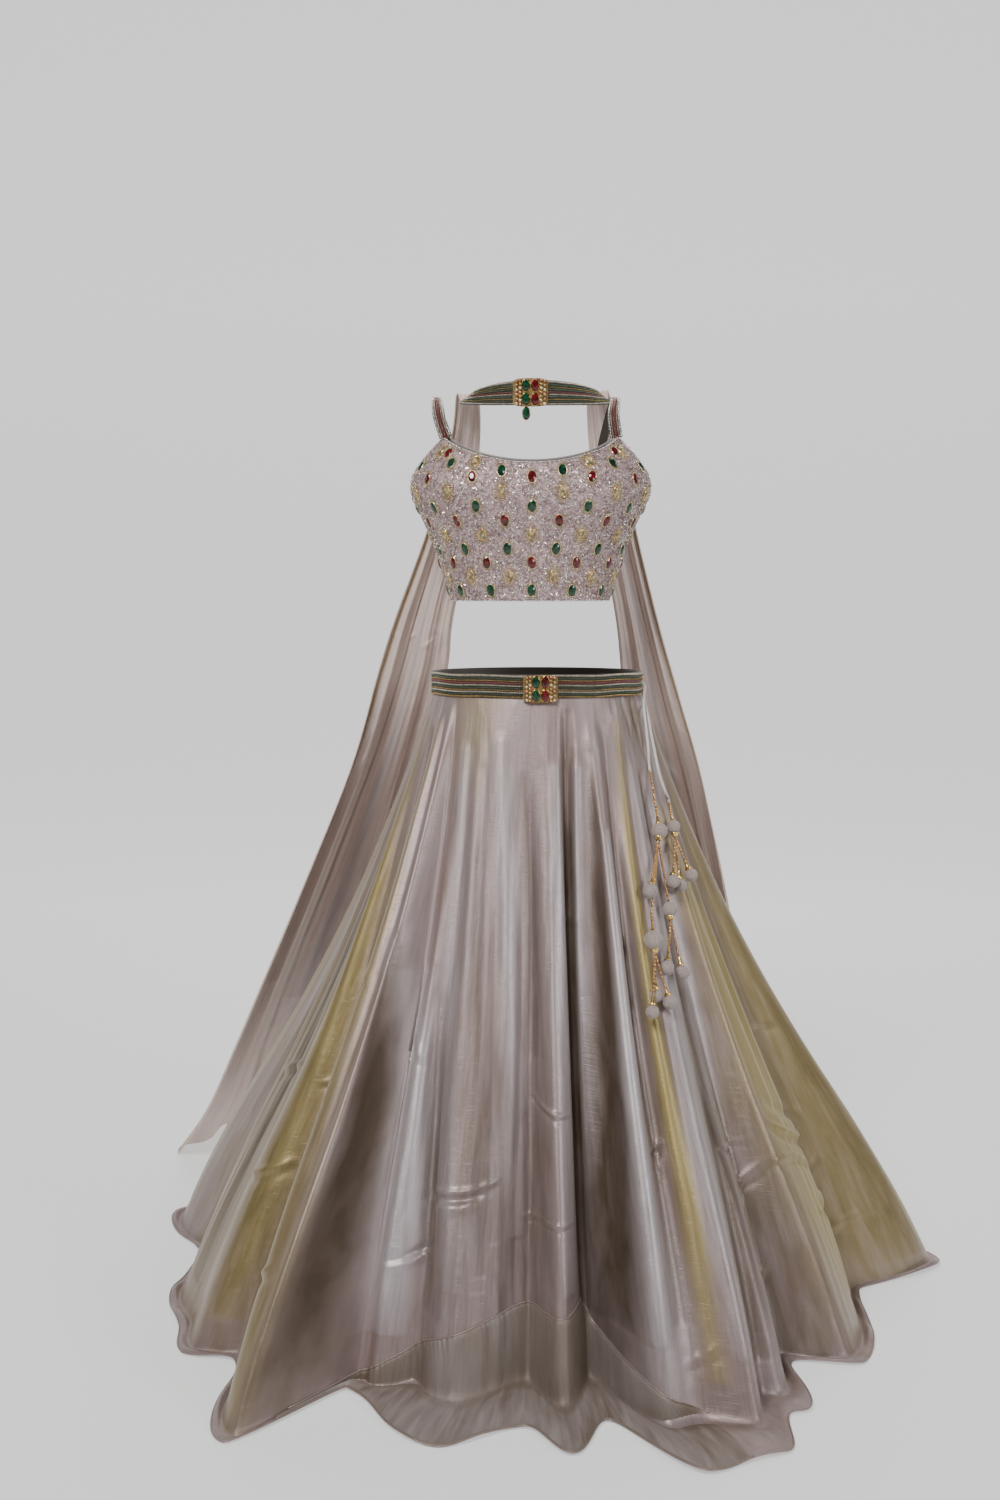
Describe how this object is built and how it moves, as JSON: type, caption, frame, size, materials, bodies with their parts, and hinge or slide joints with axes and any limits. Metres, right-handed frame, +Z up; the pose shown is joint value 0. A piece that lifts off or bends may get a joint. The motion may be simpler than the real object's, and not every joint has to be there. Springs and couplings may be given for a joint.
{
  "type": "lehenga set with choli and dupatta",
  "caption": "Flared lehenga set in its worn form: skirt with beaded belt and hanging tassels, short beaded choli, and a dupatta with a beaded neck band.",
  "frame": {"origin": "centre of the waist, at the middle of the belt's height, where the wearer holds the skirt", "axes": "+Z up, +X to the wearer's left, -Y to the front"},
  "size_m": [1.3922, 1.4898, 1.4585],
  "materials": {
    "shot_cloth": "shot tissue silk with a soft metallic sheen",
    "band_cloth": "duller underside of the same cloth",
    "beaded_cloth": "dense silver thread, sequins and beads with set stones",
    "beadwork": "rows of small metallic and coloured beads",
    "gold": "polished",
    "stone_green": "faceted resin stone",
    "stone_red": "faceted resin stone",
    "tassel_cloth": "matte cloth-covered balls with gold caps and bead strands",
    "cord_cloth": "plain woven tape"
  },
  "bodies": {
    "root": {"skirt_front": "shot_cloth", "skirt_back": "shot_cloth", "hem_band": "band_cloth", "belt": "beadwork", "belt_brooch": "gold", "belt_stone_1": "stone_green", "belt_stone_2": "stone_red", "belt_stone_3": "stone_green", "belt_stone_4": "stone_red", "choli_front": "beaded_cloth", "choli_back": "beaded_cloth", "choli_strap_right": "beadwork", "choli_strap_left": "beadwork", "choli_neck_piping": "band_cloth", "dupatta_neck_band": "beadwork", "neck_brooch": "gold", "neck_stone_1": "stone_green", "neck_stone_2": "stone_red", "neck_stone_3": "stone_green", "neck_stone_4": "stone_red", "neck_drop": "stone_green", "dupatta_fall_right": "shot_cloth", "dupatta_fall_left": "shot_cloth", "drawstring_left": "cord_cloth", "drawstring_right": "cord_cloth", "tassel_upper_left": "tassel_cloth", "tassel_upper_right": "tassel_cloth", "tassel_middle": "tassel_cloth", "tassel_lower": "tassel_cloth"}
  },
  "joints": []
}
